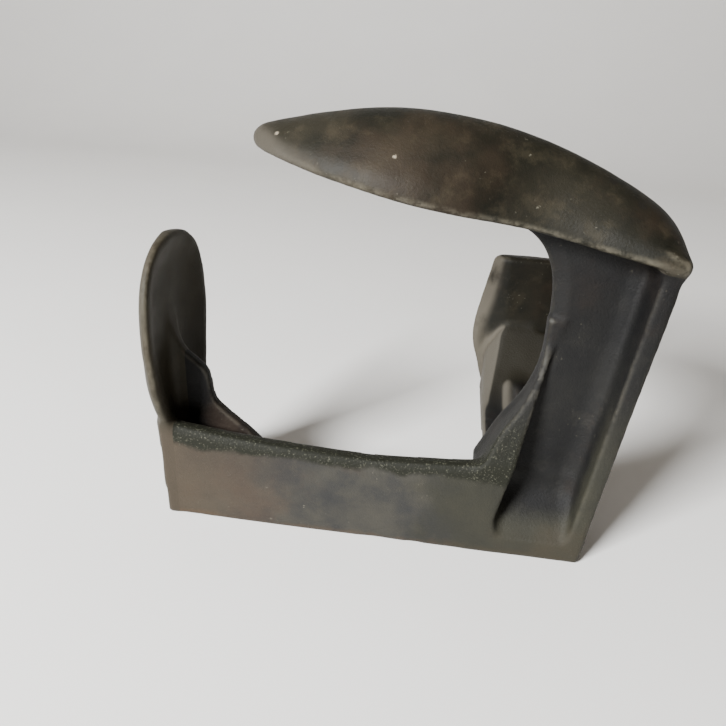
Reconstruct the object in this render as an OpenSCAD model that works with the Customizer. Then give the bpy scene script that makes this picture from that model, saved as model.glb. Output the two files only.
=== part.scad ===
// Cobbler's three way shoe last: one iron casting with three legs that meet at a hub.
// Each leg ends in a crowned working face: a large sole, a small sole and a heel.
// +Z is up, +X points along the large sole from toe to heel, +Y runs along the heel leg.
// The origin is the middle of the hub pad, on the floor.

/* [Hub] */
// width of every flange, so also the side of the square hub pad
flange_w = 50; // [40:1:62]
// thickness of the three flanges
flange_t = 9.5; // [8:0.5:14]
// thickness of the three webs
web_t = 8; // [6:0.5:12]
// height of the hub at its cheek
hub_h = 57; // [48:1:66]
// width of the hub cheek that carries the small leg
cheek_w = 8; // [5:1:14]
// how far the hub front is let in beside the large leg
recess_d = 20; // [14:1:22]
// height of the ledge below the hub recess
ledge_h = 14; // [11:1:20]

/* [Large leg and sole] */
// height of the heel edge of the large sole above the floor, along the leg
large_leg_h = 169; // [150:1:200]
// lean of the large leg away from the small leg
large_leg_lean = 6.3; // [0:0.1:8]
// length of the large sole
large_sole_l = 214; // [180:1:240]
// half of the widest part of the large sole
large_sole_half = 37; // [30:0.5:42]
// toe rise of the large sole
large_sole_tilt = 10.3; // [0:0.1:14]
// height of the crown of the large sole above its underside
large_crown = 38; // [28:0.5:40]

/* [Small leg and sole] */
// length of the small leg from the hub corner
small_leg_l = 229; // [200:1:250]
// height of the small leg plate at the hub
small_plate_h = 57; // [48:1:66]
// depth of the small leg at its narrowest
small_leg_depth = 41; // [34:1:50]
// height of the small sole
small_sole_l = 161; // [130:1:170]
// half of the widest part of the small sole
small_sole_half = 37; // [28:0.5:40]
// outward lean of the small sole
small_sole_lean = 1.1; // [0:0.1:8]
// turn of the small sole about the vertical
small_sole_turn = 4; // [0:0.5:8]
// height of the crown of the small sole above its inner face
small_crown = 18; // [10:0.5:22]

/* [Heel leg and heel] */
// length of the heel leg from the hub corner
heel_leg_l = 205; // [180:1:230]
// height of the heel leg web at its lowest
heel_leg_depth = 42; // [34:1:50]
// height of the heel face
heel_l = 111; // [90:1:120]
// half of the widest part of the heel face
heel_half = 38; // [28:0.5:42]
// outward lean of the heel face
heel_lean = 3.6; // [0:0.1:8]
// height of the crown of the heel face above its inner face
heel_crown = 20; // [12:0.5:24]

/* [Hidden] */
iron = [0.22, 0.22, 0.19];
worn = [0.36, 0.33, 0.26];
mid = flange_w / 2;
big = 700;
smooth_fn = 200;
edge_steps = 6;
web_lo = mid - web_t / 2;
web_hi = mid + web_t / 2;
cheek_x = -flange_w - cheek_w;
// heel corner of the large sole, where the outer faces of leg and sole meet
heel_x = large_leg_h * sin(large_leg_lean);
heel_z = large_leg_h * cos(large_leg_lean);
// free edge of the large leg web, given as x and z from the hub corner
web_edge = [
    [cheek_x, hub_h], [cheek_x + 7, hub_h + 16], [cheek_x + 14, hub_h + 27],
    [cheek_x + 19, hub_h + 37], [cheek_x + 23, hub_h + 51], [cheek_x + 24, hub_h + 66],
    [cheek_x + 23, hub_h + 92], [cheek_x + 19, hub_h + 106], [cheek_x + 12, hub_h + 116],
    [cheek_x - 4, hub_h + 129]
];
// half widths along each working face, as fractions of its length and of its widest half
large_profile = [
    [0, 0.62], [0.012, 0.72], [0.06, 0.79], [0.14, 0.77], [0.23, 0.72], [0.32, 0.68], [0.4, 0.73],
    [0.5, 0.89], [0.6, 1], [0.7, 0.97], [0.8, 0.8], [0.88, 0.58], [0.94, 0.38], [0.98, 0.2], [1, 0]
];
small_profile = [
    [0, 0.72], [0.05, 0.8], [0.2, 0.84], [0.4, 0.85], [0.55, 0.93], [0.69, 1],
    [0.82, 0.95], [0.91, 0.8], [0.97, 0.52], [0.993, 0.26], [1, 0]
];
heel_profile = [
    [0, 0.66], [0.1, 0.76], [0.2, 0.84], [0.32, 0.97], [0.43, 1], [0.55, 0.97], [0.7, 0.88],
    [0.85, 0.78], [0.94, 0.74], [0.98, 0.68], [1, 0.56]
];

// everything is drawn from the hub corner and then moved to the middle of the pad
module from_corner() translate([mid, -mid, 0]) children();

function blend(a, b, c, d, t) =
    0.5 * (2 * b + (c - a) * t + (2 * a - 5 * b + 4 * c - d) * t * t
        + (3 * b - a - 3 * c + d) * t * t * t);
function pick(pts, i) = pts[max(0, min(len(pts) - 1, i))];
function curve(pts, n) = concat(
    [for (i = [0 : len(pts) - 2], k = [0 : n - 1])
        blend(pick(pts, i - 1), pts[i], pts[i + 1], pick(pts, i + 2), k / n)],
    [pts[len(pts) - 1]]);
function backwards(pts) = [for (i = [len(pts) - 1 : -1 : 0]) pts[i]];

// outline of a working face, toe along +X, its middle line on y = 0
module face_outline(profile, length, half) {
    side = curve([for (p = profile) [p[0] * length, max(0, p[1]) * half]], edge_steps);
    other = [for (p = side) if (p[1] > 0.01) [p[0], -p[1]]];
    polygon(concat(side, backwards(other)));
}

// working face: flat inner side on z = 0, outer side crowned both ways
module crowned_face(profile, length, half, crown, side_r, length_r, top_at, below = 0) {
    intersection() {
        translate([0, 0, -below]) linear_extrude(crown + 1 + below)
            face_outline(profile, length, half);
        translate([top_at, 0, crown - length_r]) rotate([90, 0, 0])
            rotate_extrude($fn = smooth_fn)
                translate([length_r - side_r, 0]) circle(r = side_r);
    }
}

// moves a part drawn on z = 0 with its toe along +X onto each working plane
module on_large_plane()
    translate([heel_x, mid, heel_z]) rotate([0, large_sole_tilt, 0]) mirror([1, 0, 0]) children();

module on_small_plane()
    translate([-small_leg_l, 0, 0]) rotate([0, 0, -small_sole_turn])
        translate([0, mid, 0]) rotate([0, -small_sole_lean - 90, 0]) children();

module on_heel_plane()
    translate([-mid, heel_leg_l, 0]) rotate([-heel_lean, 0, 0])
        rotate([-90, 0, 0]) rotate([0, 0, -90]) children();

// everything on the outer side of an inner plane, used to cut the legs to length
module beyond() translate([-big / 2, -big / 2, 0]) cube(big);

module below_floor() translate([-big / 2, -big / 2, -big]) cube(big);

module large_leg_side(x_lo, x_hi, z_lo) {
    polygon([
        [x_lo + z_lo * tan(large_leg_lean), z_lo],
        [x_hi + z_lo * tan(large_leg_lean), z_lo],
        [x_hi + (large_leg_h + flange_w) * tan(large_leg_lean), large_leg_h + flange_w],
        [x_lo + (large_leg_h + flange_w) * tan(large_leg_lean), large_leg_h + flange_w]
    ]);
}

module along_y(y_lo, y_hi)
    translate([0, y_hi, 0]) rotate([90, 0, 0]) linear_extrude(y_hi - y_lo) children();

// the front half of the large sole is cored out from below, up to an even wall
module large_sole() {
    wall = 11;
    side_r = large_sole_half + 2;
    length_r = 230;
    top_at = large_sole_l * 0.47;
    core_x = 84;
    color(worn) from_corner() on_large_plane() difference() {
        crowned_face(large_profile, large_sole_l, large_sole_half, large_crown,
            side_r, length_r, top_at);
        intersection() {
            crowned_face(large_profile, large_sole_l, large_sole_half - wall, large_crown - wall,
                side_r - wall, length_r - wall, top_at, 1);
            translate([core_x, -big / 2, -big / 2]) cube([large_sole_l - core_x - wall, big, big]);
        }
    }
}

module large_leg_flange()
    color(iron) from_corner() difference() {
        along_y(0, flange_w) large_leg_side(-flange_t, 0, flange_t);
        on_large_plane() beyond();
    }

// stands on the hub base and ends at the hub cheek
module large_leg_web() {
    top_z = large_leg_h + 30;
    color(iron) from_corner() difference() {
        along_y(web_lo, web_hi) difference() {
            polygon(concat(curve(web_edge, edge_steps),
                [[0, top_z], [big, top_z], [big, web_hi], [-flange_w, web_hi], [-flange_w, hub_h]]));
            large_leg_side(-flange_t, 2 * big, 0);
        }
        on_large_plane() beyond();
    }
}

// tapered rib that carries the small leg plate up into the edge of the large leg web
module corner_rib() {
    rib_top = hub_h + 64;
    rib_w = 10;
    edge = curve([for (p = web_edge) if (p[1] < rib_top + 4) p], edge_steps);
    color(iron) from_corner() intersection() {
        along_y(0, web_lo)
            polygon(concat(edge, backwards([for (p = edge) p + [rib_w, 0]])));
        rotate([90, 0, 90]) translate([0, 0, -big / 2]) linear_extrude(big)
            polygon([[0, hub_h], [web_lo, hub_h], [web_lo, rib_top]]);
    }
}

// low base with a ledge in front, and the cheek that carries the small leg plate
module hub_block()
    color(iron) from_corner() difference() {
        union() {
            translate([cheek_x, 0, 0]) cube([cheek_w + flange_w, flange_w, web_hi]);
            translate([cheek_x, 0, 0]) cube([cheek_w, web_hi, hub_h]);
        }
        translate([-flange_w, -1, ledge_h]) cube([big, recess_d + 1, hub_h]);
        translate([-flange_w, -1, -1]) cube([big, big, flange_t + 1]);
        along_y(-1, big) large_leg_side(-flange_t, big, 0);
    }

// front plate of the small leg, a little lower in the middle of its length
module small_leg_plate() {
    end_x = -small_leg_l - 12;
    top = curve([
        [end_x, small_plate_h + 4], [end_x + 26, small_plate_h + 1], [end_x + 54, small_plate_h - 2],
        [end_x + 84, small_plate_h - 4], [end_x + 114, small_plate_h - 5],
        [cheek_x - 29, small_plate_h - 4], [cheek_x, small_plate_h]
    ], edge_steps);
    color(iron) from_corner() difference() {
        along_y(0, flange_t) polygon(concat(top, [[cheek_x, 0], [end_x, 0]]));
        on_small_plane() beyond();
    }
}

module small_leg_web() {
    end_x = -small_leg_l;
    far_y = mid + small_sole_half;
    edge = curve([
        [cheek_x, small_leg_depth + 4], [cheek_x - 20, small_leg_depth],
        [end_x + 120, small_leg_depth - 1], [end_x + 70, small_leg_depth],
        [end_x + 36, small_leg_depth + 6], [end_x + 14, far_y - 7],
        [end_x + 4, far_y - 1], [end_x - 10, far_y]
    ], edge_steps);
    color(iron) from_corner() difference() {
        translate([0, 0, web_lo]) linear_extrude(web_t)
            polygon(concat([[cheek_x, flange_t]], edge, [[end_x - 10, flange_t]]));
        on_small_plane() beyond();
    }
}

module small_sole() {
    side_r = 62;
    length_r = 420;
    top_at = small_sole_l / 2;
    color(worn) from_corner() difference() {
        on_small_plane() crowned_face(small_profile, small_sole_l, small_sole_half, small_crown,
            side_r, length_r, top_at);
        below_floor();
    }
}

// upright rib from the small leg web to the inner side of the small sole
module small_sole_rib() {
    end_x = -small_leg_l;
    edge = curve([
        [end_x + 54, web_hi], [end_x + 42, web_hi + 14], [end_x + 24, web_hi + 29],
        [end_x + 17, web_hi + 37], [end_x + 13, web_hi + 54], [end_x + 1, web_hi + 65],
        [end_x - 5, web_hi + 77], [end_x - 11, web_hi + 92]
    ], edge_steps);
    color(iron) from_corner() difference() {
        along_y(web_lo, web_hi) polygon(concat(edge, [[end_x - 11, web_hi]]));
        on_small_plane() beyond();
    }
}

module heel_leg_flange()
    color(iron) from_corner() difference() {
        translate([-flange_w, 0, 0]) cube([flange_w, heel_leg_l + 20, flange_t]);
        on_heel_plane() beyond();
    }

module heel_leg_web() {
    end_y = heel_leg_l + 8;
    edge = curve([
        [web_hi, hub_h], [flange_w - 6, heel_leg_depth + 6], [flange_w + 14, heel_leg_depth],
        [flange_w + 36, heel_leg_depth - 4], [heel_leg_l - 60, heel_leg_depth - 6],
        [heel_leg_l - 26, heel_leg_depth - 8], [end_y, heel_leg_depth - 8]
    ], edge_steps);
    color(iron) from_corner() difference() {
        translate([-web_hi, 0, 0]) rotate([90, 0, 90]) linear_extrude(web_t)
            polygon(concat([[web_hi, web_hi]], edge,
                [[end_y, flange_t], [flange_w, flange_t], [flange_w, web_hi]]));
        on_heel_plane() beyond();
    }
}

module heel_sole() {
    side_r = 60;
    length_r = 300;
    top_at = heel_l / 2;
    color(worn) from_corner() difference() {
        on_heel_plane()
            crowned_face(heel_profile, heel_l, heel_half, heel_crown, side_r, length_r, top_at);
        below_floor();
    }
}

large_sole();
large_leg_flange();
large_leg_web();
corner_rib();
hub_block();
small_leg_plate();
small_leg_web();
small_sole();
small_sole_rib();
heel_leg_flange();
heel_leg_web();
heel_sole();
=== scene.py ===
"""The looks of a cast iron three way shoe last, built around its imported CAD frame.

The casting is modelled once as a distance field, in millimetres from the outer corner of the hub,
so that its legs, webs and working faces run into one another with cast fillets. Its surface is
then cut along the CAD's own boundaries into one closed piece for each named region.
"""

import math

import bmesh
import bpy
import numpy as np
from mathutils import Matrix, Vector


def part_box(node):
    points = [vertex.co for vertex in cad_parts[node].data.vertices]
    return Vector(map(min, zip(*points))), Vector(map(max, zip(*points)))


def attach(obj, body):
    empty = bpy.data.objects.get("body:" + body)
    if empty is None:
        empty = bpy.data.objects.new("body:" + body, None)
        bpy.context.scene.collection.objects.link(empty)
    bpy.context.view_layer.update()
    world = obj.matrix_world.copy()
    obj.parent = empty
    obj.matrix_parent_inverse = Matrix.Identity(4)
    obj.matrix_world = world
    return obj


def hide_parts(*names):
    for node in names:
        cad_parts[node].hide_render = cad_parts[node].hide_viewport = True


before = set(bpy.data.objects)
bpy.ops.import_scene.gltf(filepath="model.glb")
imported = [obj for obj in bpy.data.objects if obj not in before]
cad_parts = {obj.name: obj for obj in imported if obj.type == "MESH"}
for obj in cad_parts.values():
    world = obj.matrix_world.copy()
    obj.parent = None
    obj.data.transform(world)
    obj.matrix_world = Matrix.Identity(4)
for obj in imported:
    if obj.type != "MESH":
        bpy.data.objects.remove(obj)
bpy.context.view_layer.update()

MM = 0.001
FAR = 1000.0
X, Y, Z = 0, 1, 2


def side(node, axis):
    """Length of a CAD node along one axis, in millimetres."""
    low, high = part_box(node)
    return (high[axis] - low[axis]) / MM


# The legs' section and the hub, in millimetres.
FLANGE_W = side("heel_leg_flange", X)
FLANGE_T = side("heel_leg_flange", Z)
WEB_T = side("small_leg_web", Z)
HUB_H = side("hub_block", Z)
PLATE_CLIMB = 4.0
PLATE_H = side("small_leg_plate", Z) - PLATE_CLIMB
MIDDLE = FLANGE_W / 2
WEB_LO = MIDDLE - WEB_T / 2
WEB_HI = MIDDLE + WEB_T / 2
CHEEK_W = 8.0
CHEEK_X = -FLANGE_W - CHEEK_W
RECESS_D = WEB_LO

# The three working faces: where each leg ends, how far its face leans, and the face's size.
LARGE_H = 169.0
LARGE_LEAN = math.radians(6.3)
LARGE_TILT = math.radians(10.3)
LARGE_L, LARGE_HALF, LARGE_WALL = 214.0, 37.0, 6.0
SMALL_X = -229.0
SMALL_LEAN = math.radians(1.1)
SMALL_TURN = math.radians(4)
SMALL_L, SMALL_HALF, SMALL_WALL = 161.0, 37.0, 5.0
SMALL_DEPTH = 41.0
HEEL_Y = 205.0
HEEL_LEAN = math.radians(3.6)
HEEL_L, HEEL_HALF, HEEL_T = 111.0, 38.0, 21.0
HEEL_DEPTH = 42.0

# Radii of rounded edges.
EDGE_R = 2.5
THIN_R = 1.5
SOFT_R = 3.0

GRID_STEP = 1.4
GRID_LOW, GRID_HIGH = (-266, -24, -8), (34, 242, 232)
ORIGIN = np.array([-MIDDLE, MIDDLE, 0.0])


def to_frame(points):
    """Millimetres from the hub corner to metres in the row frame."""
    return (np.asarray(points) - ORIGIN) * MM


# ---------------------------------------------------------------- distance field


def smooth_min(a, b, fillet):
    """The union of two solids, with a fillet where they meet."""
    mix = np.clip(0.5 + 0.5 * (b - a) / fillet, 0, 1)
    return b + (a - b) * mix - fillet * mix * (1 - mix)


def rounded(distances, radius):
    """Intersection of solids given by their distances, with its outer edges rounded."""
    inner = [d + radius for d in distances]
    outside = np.sqrt(sum(np.maximum(d, 0) ** 2 for d in inner))
    inside = inner[0]
    for d in inner[1:]:
        inside = np.maximum(inside, d)
    return outside + np.minimum(inside, 0) - radius


def slab(t, low, high):
    """Distance to the layer between low and high."""
    return np.abs(t - (low + high) / 2) - (high - low) / 2


def curve(points, steps=8):
    """A smooth line through given points."""
    p = np.array([points[0], *points, points[-1]], float)
    t = np.linspace(0, 1, steps, endpoint=False)[:, None]
    spans = [
        0.5 * (2 * b + (c - a) * t + (2 * a - 5 * b + 4 * c - d) * t**2 + (3 * b - a - 3 * c + d) * t**3)
        for a, b, c, d in zip(p, p[1:], p[2:], p[3:])
    ]
    return np.concatenate(spans + [p[-1:]])


def line_of(points, scale):
    """A smooth function through given points, with both of its axes scaled."""
    along, value = curve(points).T * np.array(scale)[:, None]
    return lambda u: np.interp(u, along, value)


class Outline:
    """Signed distance to a closed flat outline, read from a fine table."""

    def __init__(self, points, margin=16.0, step=0.8):
        points = np.asarray(points, float)
        self.low, self.step = points.min(0) - margin, step
        count = ((points.max(0) + margin - self.low) / step).astype(int) + 2
        grid = [self.low[k] + step * np.arange(count[k]) for k in (0, 1)]
        u, v = np.meshgrid(*grid, indexing="ij")
        near = np.full(u.shape, FAR)
        inside = np.zeros(u.shape, bool)
        for (au, av), (bu, bv) in zip(points, np.roll(points, -1, 0)):
            du, dv = bu - au, bv - av
            length = du * du + dv * dv
            if length < 1e-9:
                continue
            t = np.clip(((u - au) * du + (v - av) * dv) / length, 0, 1)
            near = np.minimum(near, np.hypot(u - au - t * du, v - av - t * dv))
            crosses = (av > v) != (bv > v)
            inside ^= crosses & (u < au + (v - av) * du / (dv if dv else 1e-9))
        self.table = np.where(inside, -near, near).astype(np.float32)

    def __call__(self, u, v):
        cell = []
        for k, t in enumerate((u, v)):
            t = np.clip((t - self.low[k]) / self.step, 0, self.table.shape[k] - 1.001)
            cell.append((t.astype(np.int32), t - np.floor(t)))
        (i, a), (j, b) = cell
        table = self.table
        low = table[i, j] * (1 - a) + table[i + 1, j] * a
        high = table[i, j + 1] * (1 - a) + table[i + 1, j + 1] * a
        return low * (1 - b) + high * b


class Field:
    """Signed distance on a grid, in millimetres from the hub corner."""

    MARGIN = 4

    def __init__(self, low, high, step):
        self.axes = [np.arange(a, b, step, dtype=np.float32) for a, b in zip(low, high)]
        self.low, self.step = np.array(low, float), step
        self.d = np.full([len(a) for a in self.axes], FAR, np.float32)

    def near(self, low, high, margin):
        """The part of the grid that holds a box and a margin round it."""
        cut = tuple(
            slice(np.searchsorted(a, lo - margin), np.searchsorted(a, hi + margin))
            for a, lo, hi in zip(self.axes, low, high)
        )
        x, y, z = (a[c] for a, c in zip(self.axes, cut))
        return cut, x[:, None, None], y[None, :, None], z[None, None, :]

    def add(self, low, high, shape, fillet):
        cut, x, y, z = self.near(low, high, fillet + self.MARGIN)
        self.d[cut] = smooth_min(self.d[cut], shape(x, y, z), fillet)

    def carve(self, low, high, shape, fillet):
        cut, x, y, z = self.near(low, high, fillet + self.MARGIN)
        self.d[cut] = -smooth_min(-self.d[cut], shape(x, y, z), fillet)

    def roughen(self, cell, height, rng):
        """Gentle lumps of about one cell across."""
        lumps = rng.normal(size=[int(len(a) * self.step / cell) + 3 for a in self.axes])
        for k, axis in enumerate(self.axes):
            t = (axis - axis[0]) / cell
            base = t.astype(int)
            ease = t - base
            ease = ease * ease * (3 - 2 * ease)
            lumps = np.moveaxis(lumps, k, -1)
            lumps = lumps[..., base] * (1 - ease) + lumps[..., base + 1] * ease
            lumps = np.moveaxis(lumps, -1, k)
        self.d += (height * lumps).astype(np.float32)

    def sample(self, points):
        """Distance at any points, between those of the grid."""
        t = (points - self.low) / self.step
        base = np.clip(np.floor(t).astype(int), 0, np.array(self.d.shape) - 2)
        f = t - base
        total = 0
        for corner in np.ndindex(2, 2, 2):
            weight = np.prod(np.where(corner, f, 1 - f), axis=1)
            total = total + weight * self.d[tuple((base + corner).T)]
        return total


def surface(field):
    """Closed quads where the field is zero: one point for each grid cell that it crosses."""
    d, n = field.d, np.array(field.d.shape)
    below = d < 0
    points, counts = np.zeros((*(n - 1), 3), np.float32), np.zeros(n - 1, np.int16)
    crossings = []
    for axis in (X, Y, Z):
        start = [slice(None)] * 3
        stop = [slice(None)] * 3
        start[axis], stop[axis] = slice(0, -1), slice(1, None)
        edges = np.argwhere(below[tuple(start)] != below[tuple(stop)])
        at = tuple(edges.T)
        a, b = d[tuple(start)][at], d[tuple(stop)][at]
        place = edges.astype(np.float32)
        place[:, axis] += a / (a - b)
        others = [k for k in (X, Y, Z) if k != axis]
        for shift in np.ndindex(2, 2):
            cell = edges.copy()
            cell[:, others[0]] -= shift[0]
            cell[:, others[1]] -= shift[1]
            key = tuple(cell.T)
            np.add.at(points, key, place)
            np.add.at(counts, key, 1)
        crossings.append((axis, others, edges, a < b))
    used = np.argwhere(counts > 0)
    index = np.full(n - 1, -1, np.int32)
    index[tuple(used.T)] = np.arange(len(used))
    verts = points[tuple(used.T)] / counts[tuple(used.T)][:, None]
    quads = []
    for axis, (p, q), edges, outward in crossings:
        corner = []
        for shift in ((0, 0), (1, 0), (1, 1), (0, 1)):
            cell = edges.copy()
            cell[:, p] -= shift[0]
            cell[:, q] -= shift[1]
            corner.append(index[tuple(cell.T)])
        quad = np.stack(corner, 1)
        turn = outward if axis != Y else ~outward
        quad[~turn] = quad[~turn][:, ::-1]
        quads.append(quad)
    return field.low + verts * field.step, np.concatenate(quads)


# ---------------------------------------------------------------- the casting


class Plane:
    """A working plane: its heel edge, toe direction, sideways direction and outward normal."""

    def __init__(self, origin, turn):
        self.origin, self.turn = Vector(origin), turn.to_3x3()
        self.toe, self.across, self.out = self.turn.transposed()

    def local(self, x, y, z):
        place = [c - o for c, o in zip((x, y, z), self.origin)]
        return [sum(p * a for p, a in zip(place, axis)) for axis in (self.toe, self.across, self.out)]


def rotation(angle, axis):
    return Matrix.Rotation(angle, 3, axis)


LARGE_PLANE = Plane(
    (LARGE_H * math.sin(LARGE_LEAN), MIDDLE, LARGE_H * math.cos(LARGE_LEAN)),
    rotation(LARGE_TILT, "Y") @ Matrix.Diagonal((-1, 1, 1)),
)
SMALL_PLANE = Plane(
    Vector((SMALL_X, 0, 0)) + rotation(-SMALL_TURN, "Z") @ Vector((0, MIDDLE, 0)),
    rotation(-SMALL_TURN, "Z") @ rotation(-SMALL_LEAN - math.pi / 2, "Y"),
)
HEEL_PLANE = Plane(
    (-MIDDLE, HEEL_Y, 0),
    rotation(-HEEL_LEAN, "X") @ rotation(-math.pi / 2, "X") @ rotation(-math.pi / 2, "Z"),
)

# Outlines of the faces, as (share of the length, share of the half width), and their crowns, as
# (share of the length, height in millimetres).
LARGE_NEAR = [
    (0, 0.62), (0.012, 0.74), (0.06, 0.79), (0.14, 0.71), (0.23, 0.6), (0.32, 0.55), (0.4, 0.64),
    (0.5, 0.85), (0.6, 0.93), (0.7, 0.86), (0.8, 0.67), (0.88, 0.44), (0.94, 0.2), (0.98, -0.06),
    (1, -0.36),
]
LARGE_FAR = [
    (0, 0.6), (0.012, 0.7), (0.06, 0.78), (0.14, 0.78), (0.23, 0.74), (0.32, 0.72), (0.4, 0.78),
    (0.5, 0.93), (0.6, 1.02), (0.7, 1.03), (0.8, 0.95), (0.88, 0.82), (0.94, 0.68), (0.98, 0.52),
    (1, 0.36),
]
LARGE_CROWN = [
    (-0.05, 5), (0, 11), (0.04, 18.5), (0.1, 25), (0.22, 32.5), (0.35, 37.5), (0.47, 39.5), (0.6, 38),
    (0.72, 33), (0.83, 25), (0.92, 17), (0.97, 12), (1, 8), (1.05, 6),
]
SMALL_FAR = [
    (0, 0.7), (0.04, 0.8), (0.2, 0.83), (0.4, 0.84), (0.55, 0.92), (0.69, 1),
    (0.82, 0.95), (0.91, 0.8), (0.965, 0.55), (0.99, 0.3), (1, 0),
]
SMALL_NEAR = [
    (0, 0.5), (0.15, 0.5), (0.27, 0.52), (0.34, 0.63), (0.42, 0.78), (0.5, 0.89), (0.6, 0.96),
    (0.69, 1), (0.82, 0.95), (0.91, 0.8), (0.965, 0.55), (0.99, 0.3), (1, 0),
]
SMALL_CROWN = [
    (-0.05, 6), (0, 6.5), (0.15, 8), (0.3, 11.5), (0.42, 16), (0.52, 19), (0.75, 16), (0.92, 11),
    (1, 7), (1.05, 6),
]
HEEL_SIDE = [
    (0, 0.66), (0.1, 0.76), (0.2, 0.84), (0.32, 0.98), (0.43, 1.03), (0.55, 0.98), (0.7, 0.88),
    (0.85, 0.78), (0.94, 0.74), (1, 0.72),
]
HEEL_INNER = [(0, 0.1), (0.2, 0.22), (0.48, 0.38), (0.7, 0.46), (0.9, 0.5), (1, 0.5)]


def face_outline(near, far, length, half):
    """Outline of a working face, in millimetres along and across it."""
    scale = np.array([length, half])
    lower = curve(near) * scale * (1, -1)
    upper = curve(far) * scale
    return np.concatenate([lower, upper[::-1]])


def domed(plane, near, far, crown, size, edge_r, hollow):
    """A working face: a hollow inner side, a low wall round it and a domed outer side."""
    length, half, wall = size
    power, widest, hollow_r = 1.9, 1.2, 3.0
    outline = Outline(face_outline(near, far, length, half))
    near_side, far_side = line_of(near, (length, half)), line_of(far, (length, half))
    height = line_of(crown, (length, 1))

    def shape(x, y, z):
        u, v, h = plane.local(x, y, z)
        middle = (far_side(u) - near_side(u)) / 2
        width = np.maximum((far_side(u) + near_side(u)) / 2, half * 0.3)
        rise = height(u) - wall
        out = np.minimum(np.abs((v - middle) / width), widest)
        slope = power * rise / width * out ** (power - 1)
        top = (h - wall - rise * (1 - out**power)) / np.sqrt(1 + slope * slope)
        solid = rounded([outline(u, v), top, -h], edge_r)
        return -smooth_min(-solid, hollow(outline(u, v), u, h, top), hollow_r)

    return shape


def web_plate(outline, axes, across, low, high, edge_r):
    """A plate with its outline in the plane of two axes, from low to high along the third."""

    def shape(x, y, z):
        place = (x, y, z)
        flat = outline(*np.broadcast_arrays(place[axes[0]], place[axes[1]]))
        return rounded([flat, slab(place[across], low, high) + 0 * flat], edge_r)

    return shape


def block(low, high, edge_r=EDGE_R, lean=0.0):
    """A box, leaning along x as it rises."""

    def shape(x, y, z):
        x = x - z * math.tan(lean)
        place = np.broadcast_arrays(x, y, z)
        return rounded([slab(c, lo, hi) for c, lo, hi in zip(place, low, high)], edge_r)

    return shape


# Free edges of the webs, as (x, z), (x, y), (x, z) and (y, z), and the top of the plate, as (x, z).
LARGE_WEB_EDGE = [
    (CHEEK_X - 4, HUB_H - 8), (CHEEK_X + 2, HUB_H + 5), (CHEEK_X + 7, HUB_H + 16),
    (CHEEK_X + 14, HUB_H + 27), (CHEEK_X + 19, HUB_H + 37), (CHEEK_X + 23, HUB_H + 51),
    (CHEEK_X + 24, HUB_H + 66), (CHEEK_X + 23, HUB_H + 92), (CHEEK_X + 19, HUB_H + 106),
    (CHEEK_X + 12, HUB_H + 116), (CHEEK_X - 4, HUB_H + 129),
]
SMALL_WEB_EDGE = [
    (CHEEK_X + 4, SMALL_DEPTH + 4), (CHEEK_X - 20, SMALL_DEPTH), (-110, SMALL_DEPTH - 1),
    (SMALL_X + 70, SMALL_DEPTH), (SMALL_X + 36, SMALL_DEPTH + 6), (SMALL_X + 14, MIDDLE + 30),
    (SMALL_X + 4, MIDDLE + 36), (SMALL_X - 2, MIDDLE + 37),
]
SMALL_RIB_EDGE = [
    (SMALL_X + 56, WEB_HI - 3), (SMALL_X + 42, WEB_HI + 14), (SMALL_X + 24, WEB_HI + 29),
    (SMALL_X + 17, WEB_HI + 37), (SMALL_X + 13, WEB_HI + 54), (SMALL_X + 1, WEB_HI + 65),
    (SMALL_X - 5, WEB_HI + 77), (SMALL_X - 11, WEB_HI + 92),
]
HEEL_WEB_EDGE = [
    (WEB_HI - 3, HUB_H), (FLANGE_W - 6, HEEL_DEPTH + 6), (FLANGE_W + 14, HEEL_DEPTH),
    (FLANGE_W + 36, HEEL_DEPTH - 4), (HEEL_Y - 60, HEEL_DEPTH - 10), (HEEL_Y - 26, HEEL_DEPTH - 20),
    (HEEL_Y + 8, HEEL_DEPTH - 24),
]
PLATE_TOP = [
    (SMALL_X - 12, PLATE_H + PLATE_CLIMB), (SMALL_X + 14, PLATE_H + 1), (SMALL_X + 42, PLATE_H - 2),
    (SMALL_X + 72, PLATE_H - 4), (SMALL_X + 102, PLATE_H - 5), (SMALL_X + 130, PLATE_H - 4),
    (CHEEK_X - 14, PLATE_H - 2), (CHEEK_X, PLATE_H), (CHEEK_X + 8, PLATE_H),
]


def under_large_sole(x, y, z, depth=4):
    """Below the large sole's inner side, so that the leg never breaks through the face."""
    return LARGE_PLANE.local(x, y, z)[2] - depth


def bevel_front(past, depth, y, slope=0.45):
    """A front at the given depth that falls back where past is above zero."""
    return depth + np.maximum(past, 0) * slope - y


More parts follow.
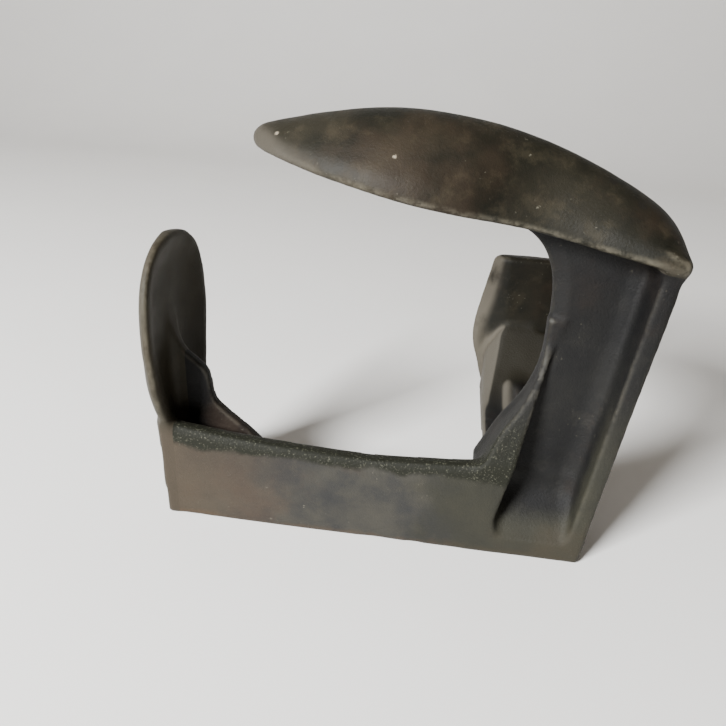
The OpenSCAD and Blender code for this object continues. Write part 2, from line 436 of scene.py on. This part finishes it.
def add_large_leg(field):
    """The flange, the web with its bevelled free edge, and the horn."""
    top = LARGE_H + 12
    sheet = block((-FLANGE_T, 0, 0), (0, FLANGE_W, top), EDGE_R, LARGE_LEAN)

    def flange(x, y, z):
        return np.maximum(sheet(x, y, z), under_large_sole(x, y, z))

    field.add((-FLANGE_T, 0, 0), (24, FLANGE_W, top), flange, fillet=0.1)
    low, high, bevel_w = 12, 190, 7
    foot = [(12, high), (-4, low), (CHEEK_X, low)]
    outline = Outline(np.concatenate([curve(LARGE_WEB_EDGE), foot]))

    def web(x, y, z):
        flat = outline(*np.broadcast_arrays(x, z))
        front = bevel_front(flat + bevel_w, WEB_LO, y)
        solid = rounded([flat, front, y - WEB_HI + 0 * flat], THIN_R)
        return np.maximum(solid, under_large_sole(x, y, z))

    field.add((-80, 0, low), (16, FLANGE_W, high), web, fillet=12)
    horn_h = 64

    def horn(x, y, z):
        """The cheek of the hub, which runs on up the web's free edge as it leans back and ends."""
        flat = outline(*np.broadcast_arrays(x, z))
        inner = x + 53 - 0.2 * z
        front = WEB_LO * np.clip((z - HUB_H) / horn_h, 0, 1) ** 0.8 - y
        return rounded([flat, inner + 0 * flat, front, y - WEB_HI + 0 * flat], THIN_R)

    field.add((CHEEK_X - 8, 0, low), (-22, WEB_HI, HUB_H + horn_h + 6), horn, fillet=3)


def add_small_leg(field):
    """The plate with its dipping top, the web behind it and the rib under the small sole."""
    top = line_of(PLATE_TOP, (1, 1))
    bevel_h, end_x, end_slope = 5, SMALL_X - 5, 0.06

    def plate(x, y, z):
        x, y, z = np.broadcast_arrays(x, y, z)
        ends = slab(x, end_x - end_slope * z, CHEEK_X + 6)
        front = bevel_front(z - top(x) + bevel_h, 0, y)
        return rounded([ends, front, y - FLANGE_T, -z, z - top(x)], THIN_R)

    low, high = (SMALL_X - 8, 0, 0), (CHEEK_X + 6, FLANGE_T, PLATE_H + PLATE_CLIMB)
    field.add(low, high, plate, fillet=4)

    foot = [(SMALL_X - 2, 4), (CHEEK_X + 4, 4)]
    web = Outline(np.concatenate([curve(SMALL_WEB_EDGE), foot]))
    low, high = (SMALL_X - 8, 0, WEB_LO), (CHEEK_X + 6, 70, WEB_HI)
    field.add(low, high, web_plate(web, (X, Y), Z, WEB_LO, WEB_HI, 2.0), fillet=9)

    foot = [(SMALL_X - 16, WEB_LO + 2), (SMALL_X + 60, WEB_LO + 2)]
    rib = Outline(np.concatenate([curve(SMALL_RIB_EDGE), foot]))
    low, high = (SMALL_X - 16, WEB_LO, WEB_LO), (SMALL_X + 80, WEB_HI, 125)
    field.add(low, high, web_plate(rib, (X, Z), Y, WEB_LO + 1, WEB_HI, THIN_R), fillet=7)


def add_heel_leg(field):
    """The flange, its sweep up into the heel, and the web."""
    low, high = (-FLANGE_W, 0, 0), (0, HEEL_Y + 5, FLANGE_T)
    field.add(low, high, block(low, high), fillet=0.1)
    sweep_l, sweep_h, chamfer_w = 62, 44, 11

    def sweep(x, y, z):
        x, y, z = np.broadcast_arrays(x, y, z)
        share = np.clip((y - HEEL_Y + sweep_l) / sweep_l, 0, 1)
        front = (z - FLANGE_T - sweep_h * share**2) / 1.7
        chamfer = (front - FLANGE_W - x + chamfer_w * share) / 1.41
        return rounded([slab(x, -FLANGE_W, 0), front, chamfer, y - HEEL_Y - 6], 2.0)

    low, high = (-FLANGE_W, HEEL_Y - 64, 0), (0, HEEL_Y + 8, 56)
    field.add(low, high, sweep, fillet=2)
    web = Outline(np.concatenate([curve(HEEL_WEB_EDGE), [(HEEL_Y + 8, 4), (WEB_HI - 3, 4)]]))
    low, high = (-WEB_HI, WEB_LO, 0), (-WEB_LO, HEEL_Y + 8, HUB_H)
    field.add(low, high, web_plate(web, (Y, Z), X, -WEB_HI, -WEB_LO, SOFT_R), fillet=11)


def add_hub(field):
    """The cheek, the base behind the recess, and the recess's foot."""
    cheek_h = 20
    field.add(
        (CHEEK_X, 0, 0), (-FLANGE_W + 3, WEB_HI, cheek_h),
        block((CHEEK_X - 4, 0, 0), (-FLANGE_W + 2, WEB_HI, cheek_h), 2.0), fillet=3,
    )
    left = -FLANGE_W - 3
    field.add(
        (left, RECESS_D, 0), (0, FLANGE_W, WEB_HI),
        block((left, RECESS_D, 0), (-4, FLANGE_W, WEB_HI), SOFT_R), fillet=6,
    )
    ramp_low, ramp_h, top = 6, 36, 44

    def foot(x, y, z):
        """The recess runs out to the front, low down, in a long soft ramp."""
        x, y, z = np.broadcast_arrays(x, y, z)
        share = np.clip((z - ramp_low) / ramp_h, 0, 1)
        front = (RECESS_D + 1) * share * share * (3 - 2 * share)
        return rounded([slab(x, CHEEK_X, 0), (front - y) / 1.15, y - FLANGE_W, z - top], 2.0)

    field.add((CHEEK_X, 0, 0), (0, FLANGE_W, top), foot, fillet=6)


def trim_legs(field):
    """The legs' outer sides are true planes."""
    low, high = (SMALL_X - 20, -20, -8), GRID_HIGH

    def outside(x, y, z):
        lean = (z * math.tan(LARGE_LEAN) - x) * math.cos(LARGE_LEAN)
        return -rounded([-y + 0 * lean, -z + 0 * lean, -lean + 0 * y], 2.0)

    field.carve(low, high, outside, fillet=1.0)


def small_dish(outline, u, h, top):
    """The hollow of the small sole's inner side: a smooth dish inside a narrow rim."""
    rim, slope_w, deepest = 4, 22, 6.5
    inside = np.clip((-outline - rim) / slope_w, 0, 1)
    from_foot = np.clip((u - 6) / 60, 0, 1)
    return h - deepest * inside * (2 - inside) * from_foot


def large_core(outline, u, h, top):
    """The large sole is cored from below, toeward of its leg, up to an even wall."""
    wall, start = 11, 84
    return rounded([outline + wall, start - u, top + wall], 4.0)


def heel_block(x, y, z):
    """A thick block whose sides flare outwards from a narrow inner face."""
    u, v, h = HEEL_PLANE.local(x, y, z)
    outer = line_of(HEEL_SIDE, (HEEL_L, HEEL_HALF))(u)
    inner = line_of(HEEL_INNER, (HEEL_L, HEEL_HALF))(u)
    flare_h = 15
    share = np.clip(h / flare_h, 0, 1)
    half = inner + (outer - inner) * share * (2 - share)
    flanks = (np.abs(v) - half) / 1.5
    fall_across, fall_along = 9, 5
    along = (u - HEEL_L / 2) / HEEL_L * 2
    back = h - HEEL_T + fall_across * (v / HEEL_HALF) ** 2 + fall_along * along**4
    return rounded([flanks, back / 1.15, -h, u - HEEL_L, -u], 4.5)


def add_faces(field):
    large = domed(
        LARGE_PLANE, LARGE_NEAR, LARGE_FAR, LARGE_CROWN,
        (LARGE_L, LARGE_HALF, LARGE_WALL), 3.5, large_core,
    )
    field.add((-212, -20, 150), (34, 74, 226), large, fillet=8)
    small = domed(
        SMALL_PLANE, SMALL_NEAR, SMALL_FAR, SMALL_CROWN,
        (SMALL_L, SMALL_HALF, SMALL_WALL), 1.8, small_dish,
    )
    field.add((-262, -20, 0), (-218, 74, 166), small, fillet=6)
    field.add((-68, 195, 0), (18, 236, 116), heel_block, fillet=7)


def casting():
    """All of the casting as one field, with the faint lumps of sand casting."""
    field = Field(GRID_LOW, GRID_HIGH, GRID_STEP)
    add_large_leg(field)
    add_heel_leg(field)
    add_hub(field)
    add_small_leg(field)
    trim_legs(field)
    add_faces(field)
    field.roughen(22.0, 0.12, np.random.default_rng(4))
    field.roughen(7.0, 0.06, np.random.default_rng(5))
    return field


# ---------------------------------------------------------------- pieces


def new_object(name, mesh):
    made = bpy.data.objects.new(name, mesh)
    bpy.context.scene.collection.objects.link(made)
    return made


def whole_mesh(field):
    """The casting's skin; its attribute edge is above 0 on convex edges and below 0 in crevices."""
    verts, quads = surface(field)
    mesh = bpy.data.meshes.new("casting")
    mesh.from_pydata([], [], [])
    mesh.vertices.add(len(verts))
    mesh.vertices.foreach_set("co", to_frame(verts).astype(np.float32).ravel())
    mesh.loops.add(quads.size)
    mesh.loops.foreach_set("vertex_index", quads.ravel().astype(np.int32))
    mesh.polygons.add(len(quads))
    mesh.polygons.foreach_set("loop_start", np.arange(0, quads.size, 4, dtype=np.int32))
    mesh.polygons.foreach_set("use_smooth", np.ones(len(quads), bool))
    mesh.update(calc_edges=True)
    reach, strongest = 2.4, 2
    around = sum(
        field.sample(verts + np.array(step) * reach)
        for step in ((1, 0, 0), (-1, 0, 0), (0, 1, 0), (0, -1, 0), (0, 0, 1), (0, 0, -1))
    )
    edge = mesh.attributes.new("edge", "FLOAT", "POINT")
    edge.data.foreach_set("value", np.clip(around / 3, -strongest, strongest).astype(np.float32))
    return mesh


def cut(source, place, normal):
    """A copy of the mesh on the far side of a plane, closed again where it was cut."""
    piece = bmesh.new()
    piece.from_mesh(source)
    made = bmesh.ops.bisect_plane(
        piece,
        geom=piece.verts[:] + piece.edges[:] + piece.faces[:],
        plane_co=to_frame(place),
        plane_no=normal,
        clear_inner=True,
    )
    rim = [e for e in made["geom_cut"] if isinstance(e, bmesh.types.BMEdge) and e.is_boundary]
    lids = bmesh.ops.holes_fill(piece, edges=rim, sides=0)["faces"]
    for lid in bmesh.ops.triangulate(piece, faces=lids)["faces"]:
        lid.smooth = False
    result = bpy.data.meshes.new("cut")
    piece.to_mesh(result)
    piece.free()
    return result


def split(mesh, place, normal):
    """(the part that the normal points into, the rest)."""
    normal = Vector(normal)
    return cut(mesh, place, normal), cut(mesh, place, -normal)


def separate(mesh):
    """The casting as one closed mesh for each CAD node.

    The cuts lie a little under the sides that they follow, so that they never break through them.
    """
    parts = {}
    under, web_gap, rib_y = 1.5, 2, -15
    rest = mesh
    faces = {"large_sole": LARGE_PLANE, "small_sole": SMALL_PLANE, "heel_sole": HEEL_PLANE}
    for name, plane in faces.items():
        parts[name], rest = split(rest, plane.origin - plane.out * under, plane.out)
    small_leg, rest = split(rest, (CHEEK_X, 0, 0), (-1, 0, 0))
    heel_leg, rest = split(rest, (0, FLANGE_W + web_gap, 0), (0, 1, 0))
    skin = FLANGE_T + under
    parts["small_leg_plate"], rest_small = split(small_leg, (0, skin, 0), (0, -1, 0))
    above_web = (0, 0, WEB_HI + web_gap)
    parts["small_leg_web"], parts["small_sole_rib"] = split(rest_small, above_web, (0, 0, -1))
    parts["heel_leg_flange"], parts["heel_leg_web"] = split(heel_leg, (0, 0, skin), (0, 0, -1))
    parts["hub_block"], rest = split(rest, (0, 0, HUB_H), (0, 0, -1))
    across = (math.cos(LARGE_LEAN), 0, -math.sin(LARGE_LEAN))
    parts["large_leg_flange"], rest = split(rest, (-skin, 0, 0), across)
    parts["corner_rib"], parts["large_leg_web"] = split(rest, (0, rib_y, 0), (-1, -1, 0))
    return parts


def set_normals(mesh, field):
    """The casting's own normals on its skin, so that no cut shows, and flat ones on the cuts.

    The attribute left says how much each place faces left, for the painted light on sides that face the
    window.
    """
    place = np.empty(len(mesh.vertices) * 3, np.float32)
    mesh.vertices.foreach_get("co", place)
    place = place.reshape(-1, 3) / MM + ORIGIN
    reach = np.eye(3) * field.step
    slope = np.stack([field.sample(place + r) - field.sample(place - r) for r in reach], 1)
    slope /= np.linalg.norm(slope, axis=1, keepdims=True) + 1e-9
    corner = np.empty(len(mesh.loops), np.int32)
    mesh.loops.foreach_get("vertex_index", corner)
    normals = slope[corner]
    smooth = np.empty(len(mesh.polygons), bool)
    total = np.empty(len(mesh.polygons), np.int32)
    flat = np.empty(len(mesh.polygons) * 3, np.float32)
    mesh.polygons.foreach_get("use_smooth", smooth)
    mesh.polygons.foreach_get("loop_total", total)
    mesh.polygons.foreach_get("normal", flat)
    on_skin = np.repeat(smooth, total)
    normals[~on_skin] = np.repeat(flat.reshape(-1, 3), total, axis=0)[~on_skin]
    mesh.normals_split_custom_set(normals.astype(np.float32))
    left = mesh.attributes.new("left", "FLOAT", "POINT")
    left.data.foreach_set("value", (-slope[:, X]).astype(np.float32))


def build_pieces():
    field = casting()
    made = {}
    for name, part in separate(whole_mesh(field)).items():
        set_normals(part, field)
        made[name] = new_object(name + ".cast", part)
    return made


# ---------------------------------------------------------------- materials


class Nodes:
    """Short names for building one material's node tree."""

    def __init__(self, name):
        self.material = bpy.data.materials.new(name)
        self.material.use_nodes = True
        self.tree = self.material.node_tree
        self.shader = self.tree.nodes["Principled BSDF"]
        self.place = self.tree.nodes.new("ShaderNodeTexCoord").outputs["Object"]

    def link(self, source, socket):
        if hasattr(source, "is_output"):
            self.tree.links.new(source, socket)
        else:
            socket.default_value = source

    def noise(self, scale, detail=4.0, rough=0.55):
        node = self.tree.nodes.new("ShaderNodeTexNoise")
        node.inputs["Scale"].default_value = scale
        node.inputs["Detail"].default_value = detail
        node.inputs["Roughness"].default_value = rough
        self.tree.links.new(self.place, node.inputs["Vector"])
        return node.outputs["Fac"]

    def ramp(self, value, low, high):
        """0 at low, 1 at high, smooth between and flat beyond them."""
        node = self.tree.nodes.new("ShaderNodeMapRange")
        node.interpolation_type = "SMOOTHSTEP"
        node.inputs["From Min"].default_value = low
        node.inputs["From Max"].default_value = high
        self.link(value, node.inputs["Value"])
        return node.outputs["Result"]

    def math(self, kind, a, b=0.0):
        node = self.tree.nodes.new("ShaderNodeMath")
        node.operation = kind
        self.link(a, node.inputs[0])
        self.link(b, node.inputs[1])
        return node.outputs[0]

    def product(self, first, *others):
        for other in others:
            first = self.math("MULTIPLY", first, other)
        return first

    def mix(self, amount, a, b):
        node = self.tree.nodes.new("ShaderNodeMix")
        node.data_type = "RGBA"
        self.link(amount, node.inputs[0])
        self.link(a, node.inputs[6])
        self.link(b, node.inputs[7])
        return node.outputs[2]

    def attribute(self, name):
        node = self.tree.nodes.new("ShaderNodeAttribute")
        node.attribute_name = name
        return node.outputs["Fac"]

    def mark(self, places, radius, ragged=0.5):
        """1 within a ragged radius of any of the places, given in metres in the row frame."""
        total = 0.0
        wobble = self.math("MULTIPLY", self.noise(260, 3), ragged * radius * 2)
        for place in places:
            node = self.tree.nodes.new("ShaderNodeVectorMath")
            node.operation = "DISTANCE"
            self.tree.links.new(self.place, node.inputs[0])
            node.inputs[1].default_value = place
            away = self.math("ADD", node.outputs["Value"], wobble)
            total = self.math("MAXIMUM", self.ramp(away, radius * 1.7, radius * 1.3), total)
        return total

    def axis(self, name):
        node = self.tree.nodes.new("ShaderNodeSeparateXYZ")
        self.tree.links.new(self.place, node.inputs[0])
        return node.outputs[name]

    def wavy(self, name, height, scale, detail=4):
        """A coordinate, pushed to and fro by noise so that what it bounds is ragged."""
        return self.math("ADD", self.axis(name), self.product(self.noise(scale, detail), height))


def rgb(r, g, b):
    return (r, g, b, 1.0)


RUST = rgb(0.08, 0.045, 0.024)
BARE = rgb(0.2, 0.18, 0.135)
# Colour of the painted shade in crevices.
CREVICE_SHADE = rgb(0.012, 0.011, 0.009)
CHIP = rgb(0.16, 0.15, 0.115)
GRANULE_SCALE = 800


def grain(n, strength):
    """Sand cast grain, for every iron surface."""
    height = n.math("ADD", n.noise(GRANULE_SCALE, 4, 0.7), n.product(n.noise(180, 3), 0.3))
    bump = n.tree.nodes.new("ShaderNodeBump")
    bump.inputs["Strength"].default_value = strength
    bump.inputs["Distance"].default_value = 0.0009
    n.link(height, bump.inputs["Height"])
    n.link(bump.outputs["Normal"], n.shader.inputs["Normal"])


def patina(n, dark, pale, worn, wear, rust):
    """Two mottled tones, streaks, rust, rubbed convex edges, painted shade in crevices and a few bright
    chips.
    """
    colour = n.mix(n.ramp(n.noise(24, 6, 0.62), 0.36, 0.66), dark, pale)
    streaks = n.product(n.ramp(n.noise(70, 6, 0.7), 0.48, 0.7), 0.5)
    colour = n.mix(streaks, colour, worn)
    rusty = n.product(n.ramp(n.noise(15, 6, 0.6), 0.5, 0.68), rust)
    colour = n.mix(rusty, colour, RUST)
    edge = n.ramp(n.attribute("edge"), 0.3, 1.1)
    rubbed = n.product(edge, n.ramp(n.noise(150, 5, 0.7), 0.34, 0.6), wear)
    colour = n.mix(rubbed, colour, BARE)
    # Painted shade: crevices, where the edge attribute is below zero, are darkened.
    crevice_shade = n.product(n.ramp(n.attribute("edge"), -0.2, -1.0), 0.55)
    colour = n.mix(crevice_shade, colour, CREVICE_SHADE)
    spots = n.ramp(n.noise(430, 3, 0.6), 0.66, 0.72)
    clusters = n.ramp(n.noise(34, 2), 0.52, 0.62)
    return n.mix(n.product(spots, clusters, 0.5), colour, CHIP)


def finish_iron(n, colour, shine):
    n.link(colour, n.shader.inputs["Base Color"])
    n.link(n.math("ADD", n.product(n.noise(60, 4), 0.3), 0.42), n.shader.inputs["Roughness"])
    n.shader.inputs["Metallic"].default_value = 0.0
    n.shader.inputs["Specular IOR Level"].default_value = shine
    return n.material


def leg_sides(n):
    """Dark sand cast sides, with painted shade high up, under the large sole."""
    dark, pale, worn = rgb(0.007, 0.007, 0.0072), rgb(0.0105, 0.0103, 0.0095), rgb(0.019, 0.018, 0.0155)
    colour = patina(n, dark, pale, worn, wear=0.12, rust=0.15)
    # Painted shade: the upper sides, under the large sole, are darkened.
    high = n.product(n.ramp(n.axis("Z"), 0.08, 0.16), 0.6)
    return n.mix(high, colour, rgb(0.003, 0.003, 0.0032))


def leg_front(n, up):
    """Blue grey, brown at the small sole's end, olive at the hub, with a granular top band whose pale
    specks are painted glints.
    """
    dark, pale, worn = rgb(0.02, 0.0203, 0.0205), rgb(0.037, 0.035, 0.029), rgb(0.042, 0.039, 0.031)
    colour = patina(n, dark, pale, worn, wear=0.14, rust=0.25)
    across = n.wavy("X", 0.06, 30)
    outer_end = n.product(n.ramp(across, -0.09, -0.19), 0.6)
    colour = n.mix(outer_end, colour, rgb(0.052, 0.037, 0.022))
    foot = n.product(n.ramp(up, 0.011, 0.006), 0.5)
    colour = n.mix(foot, colour, rgb(0.06, 0.038, 0.022))
    hub = n.product(n.ramp(across, -0.045, -0.015), 0.65)
    colour = n.mix(hub, colour, rgb(0.021, 0.0205, 0.013))
    band = n.product(n.ramp(up, 0.0495, 0.0535), n.ramp(n.axis("X"), -0.005, -0.02))
    # Painted highlight: pale specks in the top band stand for glints on the grains.
    painted_glints = n.product(n.ramp(n.noise(900, 3, 0.7), 0.57, 0.66), 0.6)
    granular = n.mix(painted_glints, rgb(0.009, 0.0095, 0.006), rgb(0.09, 0.09, 0.065))
    return n.mix(band, colour, granular)


def leg_iron():
    """Sides and front, with olive toward the heel, painted light on the outer side there where it faces
    the window, and a rubbed free edge with a painted highlight.
    """
    n = Nodes("cast iron")
    sides = leg_sides(n)
    up = n.wavy("Z", 0.012, 60)
    front = leg_front(n, up)
    ahead = n.ramp(n.wavy("Y", 0.004, 80, 3), -0.008, -0.018)
    colour = n.mix(n.product(ahead, n.ramp(up, 0.12, 0.058)), sides, front)
    colour = n.mix(n.ramp(n.axis("Y"), 0.12, 0.16), colour, rgb(0.013, 0.0115, 0.0075))
    # Painted light: the outer side behind the hub, where it faces left toward the window, is lightened.
    left = n.ramp(n.attribute("left"), 0.3, 0.55)
    behind_hub = n.ramp(n.axis("Y"), 0.03, 0.06)
    lit_outer_side = n.ramp(n.axis("X"), -0.003, -0.008)
    colour = n.mix(n.product(left, behind_hub, lit_outer_side), colour, rgb(0.068, 0.062, 0.05))
    # Rubbed wear and a painted highlight: the convex free edge is lightened.
    arris_wear_and_highlight = n.product(n.ramp(n.attribute("edge"), 0.75, 1.6), n.ramp(n.noise(150, 5, 0.7), 0.35, 0.6))
    free_edge = n.product(
        n.ramp(n.axis("X"), 0.002, -0.002),
        n.ramp(n.axis("Y"), 0.004, 0.0),
        n.ramp(n.axis("Z"), 0.056, 0.066),
    )
    colour = n.mix(n.product(arris_wear_and_highlight, free_edge, 0.8), colour, rgb(0.055, 0.055, 0.05))
    grain(n, 0.5)
    return finish_iron(n, colour, 0.14)


def face_iron():
    """The working faces: olive and brown, with a browner toe, chips, two dark pits and painted light on
    the sides that face left, toward the window.
    """
    n = Nodes("worn iron")
    dark, pale, worn = rgb(0.0045, 0.0046, 0.0028), rgb(0.012, 0.0105, 0.0063), rgb(0.03, 0.025, 0.015)
    colour = patina(n, dark, pale, worn, wear=0.3, rust=0.12)
    toward_toe = n.product(n.ramp(n.wavy("X", 0.12, 22, 5), -0.02, -0.16), 0.55)
    colour = n.mix(toward_toe, colour, rgb(0.034, 0.029, 0.019))
    chips = [(-0.15, -0.004, 0.214), (-0.092, -0.025, 0.21), (0.041, -0.0255, 0.171)]
    colour = n.mix(n.mark(chips, radius=0.0022, ragged=1.0), colour, rgb(0.22, 0.19, 0.14))
    pits = [(0.0075, -0.005, 0.204), (0.021, -0.011, 0.195)]
    colour = n.mix(n.product(n.mark(pits, radius=0.0024), 0.85), colour, rgb(0.008, 0.007, 0.005))
    foot = n.product(n.ramp(n.axis("Z"), 0.062, 0.05), n.ramp(n.axis("X"), -0.15, -0.19))
    colour = n.mix(foot, colour, rgb(0.037, 0.029, 0.02))
    # Painted light: sides that face left, toward the window, are lightened, most at the heel.
    left = n.product(n.ramp(n.attribute("left"), 0.3, 0.55), n.ramp(n.noise(40, 4), 0.2, 0.5))
    heel = n.ramp(n.axis("Y"), 0.1, 0.12)
    lit_side_colour = n.mix(heel, rgb(0.045, 0.04, 0.031), rgb(0.075, 0.067, 0.052))
    colour = n.mix(left, colour, lit_side_colour)
    grain(n, 0.3)
    return finish_iron(n, colour, 0.17)


def dress(pieces):
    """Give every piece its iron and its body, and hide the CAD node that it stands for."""
    leg, face = leg_iron(), face_iron()
    for name, piece in pieces.items():
        working = name.endswith("sole")
        piece.data.materials.clear()
        piece.data.materials.append(face if working else leg)
        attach(piece, "root")
        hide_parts(name)


# ---------------------------------------------------------------- camera and light


def camera():
    """A view from in front, a little above and rolled."""
    place = to_frame((-90.6, -317.8, 257.7))
    yaw, pitch, roll = (math.radians(a) for a in (6.23, 24.99, 3.33))
    turn = (
        Matrix.Rotation(yaw, 4, "Z")
        @ Matrix.Rotation(math.pi / 2 - pitch, 4, "X")
        @ Matrix.Rotation(roll, 4, "Z")
    )
    data = bpy.data.cameras.new("camera")
    data.sensor_width = 36
    data.lens = 34.71
    made = new_object("camera", data)
    made.matrix_world = Matrix.Translation(place) @ turn
    bpy.context.scene.camera = made


def window():
    """One white area light, in front and to the left."""
    place, aim = Vector((-1.05, -1.3, 1.02)), Vector((-0.1, 0, 0.08))
    data = bpy.data.lights.new("window", "AREA")
    data.shape = "RECTANGLE"
    data.size, data.size_y = 0.62, 0.45
    data.energy = 132
    made = new_object("window", data)
    made.location = place
    made.rotation_euler = (aim - place).to_track_quat("-Z", "Y").to_euler()
    return made


def backdrop():
    """White paper: flat under the casting, then swept up far behind it."""
    wide, front, back, bend, top = 3.0, -2.0, 1.2, 0.8, 3.0
    count = 12
    steps = [math.pi / 2 * k / count for k in range(count + 1)]
    line = [(front, 0)] + [(back + bend * math.sin(a), bend - bend * math.cos(a)) for a in steps]
    line.append((back + bend, top))
    verts = [(x, y, z) for y, z in line for x in (-wide, wide)]
    faces = [(2 * k, 2 * k + 1, 2 * k + 3, 2 * k + 2) for k in range(len(line) - 1)]
    mesh = bpy.data.meshes.new("paper")
    mesh.from_pydata(verts, [], faces)
    for face in mesh.polygons:
        face.use_smooth = True
    n = Nodes("paper")
    white = n.mix(n.noise(6, 3), rgb(0.83, 0.822, 0.8), rgb(0.88, 0.873, 0.85))
    n.link(white, n.shader.inputs["Base Color"])
    n.shader.inputs["Roughness"].default_value = 0.9
    mesh.materials.append(n.material)
    return new_object("paper", mesh)


def studio():
    """The backdrop, the window and a dim warm room."""
    backdrop()
    window()
    world = bpy.data.worlds.new("room")
    bpy.context.scene.world = world
    world.use_nodes = True
    room = world.node_tree.nodes["Background"]
    room.inputs["Color"].default_value = (1, 0.85, 0.7, 1)
    room.inputs["Strength"].default_value = 0.14


pieces = build_pieces()
dress(pieces)
camera()
studio()
